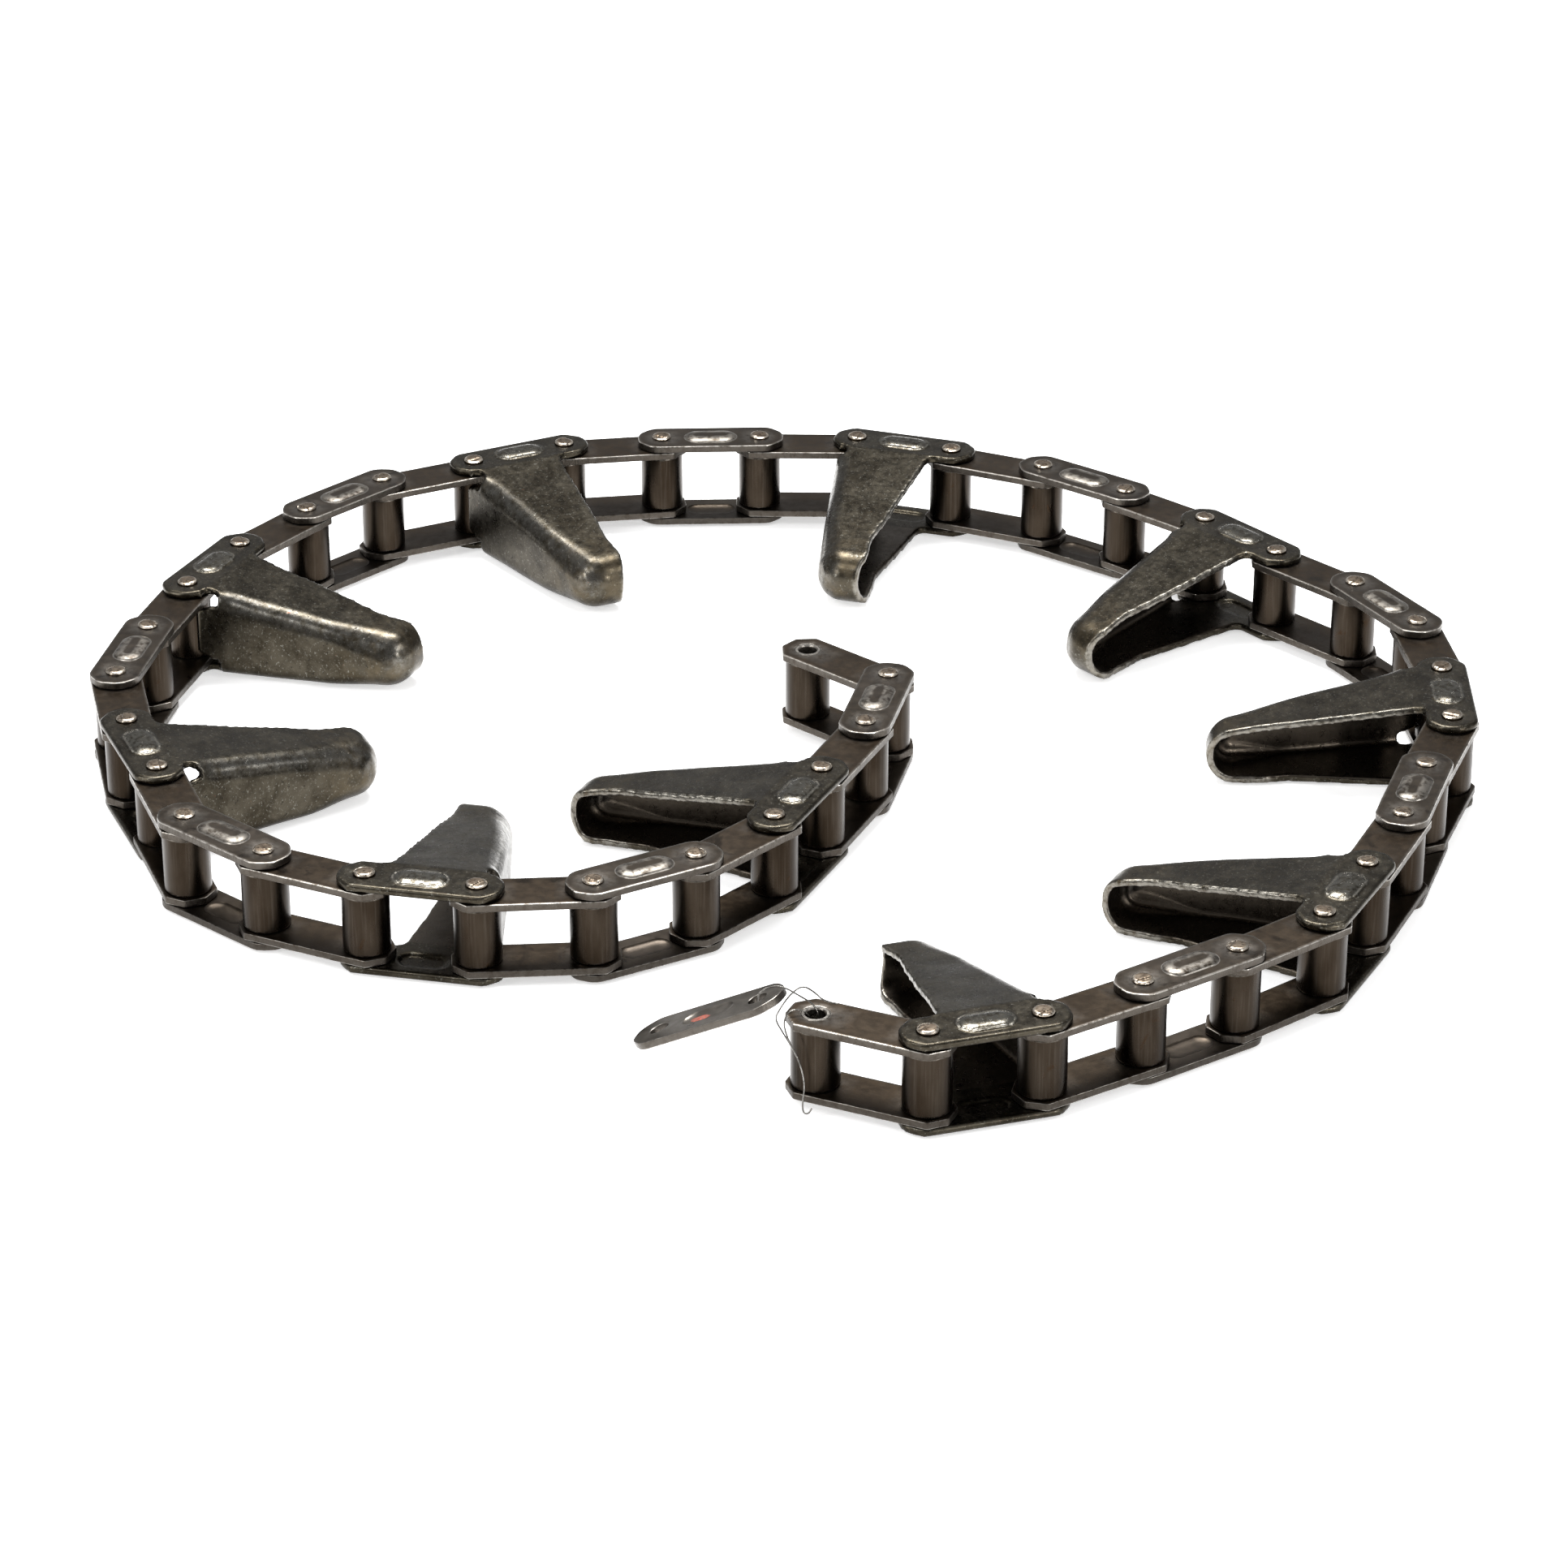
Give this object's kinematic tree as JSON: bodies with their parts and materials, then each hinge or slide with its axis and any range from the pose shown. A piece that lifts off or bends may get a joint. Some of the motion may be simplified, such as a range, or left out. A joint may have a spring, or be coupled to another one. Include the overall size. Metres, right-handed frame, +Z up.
{
  "type": "roller chain",
  "caption": "Heavy roller chain with hollow pressed gathering fingers, laid on its side in one open coil, with a spare side plate wired to its outer end.",
  "frame": {"origin": "on the floor under the middle of the coil, at the level of the bottom pin heads", "axes": "+Z up along the pins, +X along the longest extent of the coil, +Y away from the side with the outer free end"},
  "size_m": [0.5386, 0.5266, 0.0442],
  "materials": {
    "plate_steel": "hot-rolled, oiled, dark brown-grey, bright sheared edges",
    "inner_link_steel": "hot-rolled plates, smooth dark rollers and bright bush rings, oiled",
    "outer_link_steel": "hot-rolled plates with embossed pads and peened pins, oiled",
    "finger_link_steel": "hot-rolled one-piece pressing, mottled scale, worn bright at the bends",
    "roller_steel": "smooth hardened roller with a film of grease",
    "bush_steel": "turned bush, bright ring",
    "pin_steel": "peened pin head, coppery grey",
    "spare_plate_steel": "matte grey plate with a daub of red paint in its pad",
    "tie_wire_steel": "bright soft wire"
  },
  "bodies": {
    "link_01": {"link_01_bottom_plate": "plate_steel", "link_01_bush_a": "bush_steel", "link_01_bush_b": "bush_steel", "link_01_top_plate": "plate_steel"},
    "link_01_roller_a": {"link_01_roller_a": "roller_steel"},
    "link_01_roller_b": {"link_01_roller_b": "roller_steel"},
    "link_02": {"link_02_bottom_plate": "plate_steel", "link_02_pin_a": "pin_steel", "link_02_pin_b": "pin_steel", "link_02_top_plate": "plate_steel"},
    "link_03": {"link_03_inner": "inner_link_steel"},
    "link_03_roller_a": {"link_03_roller_a": "roller_steel"},
    "link_03_roller_b": {"link_03_roller_b": "roller_steel"},
    "link_04": {"link_04_finger": "finger_link_steel", "link_04_pin_a": "pin_steel", "link_04_pin_b": "pin_steel"},
    "link_05": {"link_05_inner": "inner_link_steel"},
    "link_06": {"link_06_plain": "outer_link_steel"},
    "link_07": {"link_07_inner": "inner_link_steel"},
    "link_08": {"link_08_finger": "finger_link_steel"},
    "link_09": {"link_09_inner": "inner_link_steel"},
    "link_10": {"link_10_plain": "outer_link_steel"},
    "link_11": {"link_11_inner": "inner_link_steel"},
    "link_12": {"link_12_finger": "finger_link_steel"},
    "link_13": {"link_13_inner": "inner_link_steel"},
    "link_14": {"link_14_plain": "outer_link_steel"},
    "link_15": {"link_15_inner": "inner_link_steel"},
    "link_16": {"link_16_finger": "finger_link_steel"},
    "link_17": {"link_17_inner": "inner_link_steel"},
    "link_18": {"link_18_plain": "outer_link_steel"},
    "link_19": {"link_19_inner": "inner_link_steel"},
    "link_20": {"link_20_finger": "finger_link_steel"},
    "link_21": {"link_21_inner": "inner_link_steel"},
    "link_22": {"link_22_plain": "outer_link_steel"},
    "link_23": {"link_23_inner": "inner_link_steel"},
    "link_24": {"link_24_finger": "finger_link_steel"},
    "link_25": {"link_25_inner": "inner_link_steel"},
    "link_26": {"link_26_plain": "outer_link_steel"},
    "link_27": {"link_27_inner": "inner_link_steel"},
    "link_28": {"link_28_finger": "finger_link_steel"},
    "link_29": {"link_29_inner": "inner_link_steel"},
    "link_30": {"link_30_plain": "outer_link_steel"},
    "link_31": {"link_31_inner": "inner_link_steel"},
    "link_32": {"link_32_finger": "finger_link_steel"},
    "link_33": {"link_33_inner": "inner_link_steel"},
    "link_34": {"link_34_plain": "outer_link_steel"},
    "link_35": {"link_35_inner": "inner_link_steel"},
    "link_36": {"link_36_finger": "finger_link_steel"},
    "link_37": {"link_37_inner": "inner_link_steel"},
    "link_38": {"link_38_plain": "outer_link_steel"},
    "link_39": {"link_39_inner": "inner_link_steel"},
    "link_40": {"link_40_finger": "finger_link_steel"},
    "link_41": {"link_41_bottom_plate": "plate_steel", "link_41_bush_a": "bush_steel", "link_41_bush_b": "bush_steel", "link_41_top_plate": "plate_steel", "spare_side_plate": "spare_plate_steel", "tie_wire": "tie_wire_steel"},
    "link_41_roller_a": {"link_41_roller_a": "roller_steel"},
    "link_41_roller_b": {"link_41_roller_b": "roller_steel"}
  },
  "joints": [
    {"name": "pin_01_hinge", "type": "hinge", "parent": "link_02", "child": "link_01", "pos_m": [0.04252, 0.02299, 0.01975], "axis": [0, 0, -1], "range_deg": [-10, 56]},
    {"name": "pin_02_hinge", "type": "hinge", "parent": "link_03", "child": "link_02", "pos_m": [0.03307, -0.01794, 0.01975], "axis": [0, 0, -1], "range_deg": [-5, 54]},
    {"name": "pin_03_hinge", "type": "hinge", "parent": "link_04", "child": "link_03", "pos_m": [0.01598, -0.05632, 0.01975], "axis": [0, 0, -1], "range_deg": [-5, 44]},
    {"name": "pin_04_hinge", "type": "hinge", "parent": "link_05", "child": "link_04", "pos_m": [-0.00177, -0.0944, 0.01975], "axis": [0, 0, -1], "range_deg": [-4, 56]},
    {"name": "pin_05_hinge", "type": "hinge", "parent": "link_06", "child": "link_05", "pos_m": [-0.03042, -0.12512, 0.01975], "axis": [0, 0, -1], "range_deg": [-4, 22]},
    {"name": "pin_06_hinge", "type": "hinge", "parent": "link_07", "child": "link_06", "pos_m": [-0.06717, -0.14549, 0.01975], "axis": [0, 0, -1], "range_deg": [-4, 30]},
    {"name": "pin_07_hinge", "type": "hinge", "parent": "link_08", "child": "link_07", "pos_m": [-0.10907, -0.14842, 0.01975], "axis": [0, 0, -1], "range_deg": [-4, 22]},
    {"name": "pin_08_hinge", "type": "hinge", "parent": "link_09", "child": "link_08", "pos_m": [-0.15016, -0.13968, 0.01975], "axis": [0, 0, -1], "range_deg": [-4, 18]},
    {"name": "pin_09_hinge", "type": "hinge", "parent": "link_10", "child": "link_09", "pos_m": [-0.18824, -0.12193, 0.01975], "axis": [0, 0, -1], "range_deg": [-4, 22]},
    {"name": "pin_10_hinge", "type": "hinge", "parent": "link_11", "child": "link_10", "pos_m": [-0.21994, -0.09437, 0.01975], "axis": [0, 0, -1], "range_deg": [-3, 17]},
    {"name": "pin_11_hinge", "type": "hinge", "parent": "link_12", "child": "link_11", "pos_m": [-0.23431, -0.05489, 0.01975], "axis": [0, 0, -1], "range_deg": [-3, 4]},
    {"name": "pin_12_hinge", "type": "hinge", "parent": "link_13", "child": "link_12", "pos_m": [-0.25005, -0.01594, 0.01975], "axis": [0, 0, -1], "range_deg": [-3, 16]},
    {"name": "pin_13_hinge", "type": "hinge", "parent": "link_14", "child": "link_13", "pos_m": [-0.25878, 0.02515, 0.01975], "axis": [0, 0, -1], "range_deg": [-3, 28]},
    {"name": "pin_14_hinge", "type": "hinge", "parent": "link_15", "child": "link_14", "pos_m": [-0.25077, 0.06639, 0.01975], "axis": [0, 0, -1], "range_deg": [-3, 11]},
    {"name": "pin_15_hinge", "type": "hinge", "parent": "link_16", "child": "link_15", "pos_m": [-0.23919, 0.10677, 0.01975], "axis": [0, 0, -1], "range_deg": [-3, 15]},
    {"name": "pin_16_hinge", "type": "hinge", "parent": "link_17", "child": "link_16", "pos_m": [-0.22143, 0.14485, 0.01975], "axis": [0, 0, -1], "range_deg": [-3, 17]},
    {"name": "pin_17_hinge", "type": "hinge", "parent": "link_18", "child": "link_17", "pos_m": [-0.19674, 0.17883, 0.01975], "axis": [0, 0, -1], "range_deg": [-3, 14]},
    {"name": "pin_18_hinge", "type": "hinge", "parent": "link_19", "child": "link_18", "pos_m": [-0.16756, 0.20905, 0.01975], "axis": [0, 0, -1], "range_deg": [-3, 26]},
    {"name": "pin_19_hinge", "type": "hinge", "parent": "link_20", "child": "link_19", "pos_m": [-0.1298, 0.22747, 0.01975], "axis": [0, 0, -1], "range_deg": [-3, 6]},
    {"name": "pin_20_hinge", "type": "hinge", "parent": "link_21", "child": "link_20", "pos_m": [-0.09204, 0.24588, 0.01975], "axis": [0, 0, -1], "range_deg": [-3, 24]},
    {"name": "pin_21_hinge", "type": "hinge", "parent": "link_21", "child": "link_22", "pos_m": [-0.05044, 0.25173, 0.01975], "axis": [0, 0, 1], "range_deg": [-3, 12]},
    {"name": "pin_22_hinge", "type": "hinge", "parent": "link_22", "child": "link_23", "pos_m": [-0.00846, 0.2532, 0.01975], "axis": [0, 0, 1], "range_deg": [-3, 9]},
    {"name": "pin_23_hinge", "type": "hinge", "parent": "link_23", "child": "link_24", "pos_m": [0.03355, 0.25246, 0.01975], "axis": [0, 0, 1], "range_deg": [-3, 23]},
    {"name": "pin_24_hinge", "type": "hinge", "parent": "link_24", "child": "link_25", "pos_m": [0.0735, 0.23948, 0.01975], "axis": [0, 0, 1], "range_deg": [-1, 12]},
    {"name": "pin_25_hinge", "type": "hinge", "parent": "link_25", "child": "link_26", "pos_m": [0.11188, 0.2224, 0.01975], "axis": [0, 0, 1], "range_deg": [-1, 19]},
    {"name": "pin_26_hinge", "type": "hinge", "parent": "link_26", "child": "link_27", "pos_m": [0.14543, 0.19711, 0.01975], "axis": [0, 0, 1], "range_deg": [-1, 11]},
    {"name": "pin_27_hinge", "type": "hinge", "parent": "link_27", "child": "link_28", "pos_m": [0.17665, 0.169, 0.01975], "axis": [0, 0, 1], "range_deg": [-1, 14]},
    {"name": "pin_28_hinge", "type": "hinge", "parent": "link_28", "child": "link_29", "pos_m": [0.20365, 0.13682, 0.01975], "axis": [0, 0, 1], "range_deg": [-1, 2]},
    {"name": "pin_29_hinge", "type": "hinge", "parent": "link_29", "child": "link_30", "pos_m": [0.23283, 0.1066, 0.01975], "axis": [0, 0, 1], "range_deg": [-1, 20]},
    {"name": "pin_30_hinge", "type": "hinge", "parent": "link_30", "child": "link_31", "pos_m": [0.25384, 0.07022, 0.01975], "axis": [0, 0, 1], "range_deg": [-1, 29]},
    {"name": "pin_31_hinge", "type": "hinge", "parent": "link_31", "child": "link_32", "pos_m": [0.25896, 0.02852, 0.01975], "axis": [0, 0, 1], "range_deg": [-1, 14]},
    {"name": "pin_32_hinge", "type": "hinge", "parent": "link_32", "child": "link_33", "pos_m": [0.25823, -0.01348, 0.01975], "axis": [0, 0, 1], "range_deg": [-1, 25]},
    {"name": "pin_33_hinge", "type": "hinge", "parent": "link_33", "child": "link_34", "pos_m": [0.24386, -0.05296, 0.01975], "axis": [0, 0, 1], "range_deg": [-1, 4]},
    {"name": "pin_34_hinge", "type": "hinge", "parent": "link_34", "child": "link_35", "pos_m": [0.23088, -0.09291, 0.01975], "axis": [0, 0, 1], "range_deg": [-1, 12]},
    {"name": "pin_35_hinge", "type": "hinge", "parent": "link_35", "child": "link_36", "pos_m": [0.21379, -0.13129, 0.01975], "axis": [0, 0, 1], "range_deg": [-1, 9]},
    {"name": "pin_36_hinge", "type": "hinge", "parent": "link_36", "child": "link_37", "pos_m": [0.19472, -0.16872, 0.01975], "axis": [0, 0, 1], "range_deg": [-1, 31]},
    {"name": "pin_37_hinge", "type": "hinge", "parent": "link_37", "child": "link_38", "pos_m": [0.16161, -0.19458, 0.01975], "axis": [0, 0, 1], "range_deg": [-2, 46]},
    {"name": "pin_38_hinge", "type": "hinge", "parent": "link_38", "child": "link_39", "pos_m": [0.12679, -0.21807, 0.01975], "axis": [0, 0, 1], "range_deg": [-3, 44]},
    {"name": "pin_39_hinge", "type": "hinge", "parent": "link_39", "child": "link_40", "pos_m": [0.09116, -0.24034, 0.01975], "axis": [0, 0, 1], "range_deg": [-5, 56]},
    {"name": "pin_40_hinge", "type": "hinge", "parent": "link_40", "child": "link_41", "pos_m": [0.05098, -0.25262, 0.01975], "axis": [0, 0, 1], "range_deg": [-8, 56]},
    {"name": "link_01_roller_a_spin", "type": "hinge", "parent": "link_01", "child": "link_01_roller_a", "pos_m": [0.0113, 0.0511, 0.01975], "axis": [0, 0, 1], "continuous": true},
    {"name": "link_01_roller_b_spin", "type": "hinge", "parent": "link_01", "child": "link_01_roller_b", "pos_m": [0.04252, 0.02299, 0.01975], "axis": [0, 0, 1], "continuous": true},
    {"name": "link_03_roller_a_spin", "type": "hinge", "parent": "link_03", "child": "link_03_roller_a", "pos_m": [0.03307, -0.01794, 0.01975], "axis": [0, 0, 1], "continuous": true},
    {"name": "link_03_roller_b_spin", "type": "hinge", "parent": "link_03", "child": "link_03_roller_b", "pos_m": [0.01598, -0.05632, 0.01975], "axis": [0, 0, 1], "continuous": true},
    {"name": "link_41_roller_a_spin", "type": "hinge", "parent": "link_41", "child": "link_41_roller_a", "pos_m": [0.05098, -0.25262, 0.01975], "axis": [0, 0, 1], "continuous": true},
    {"name": "link_41_roller_b_spin", "type": "hinge", "parent": "link_41", "child": "link_41_roller_b", "pos_m": [0.01261, -0.23553, 0.01975], "axis": [0, 0, 1], "continuous": true}
  ]
}
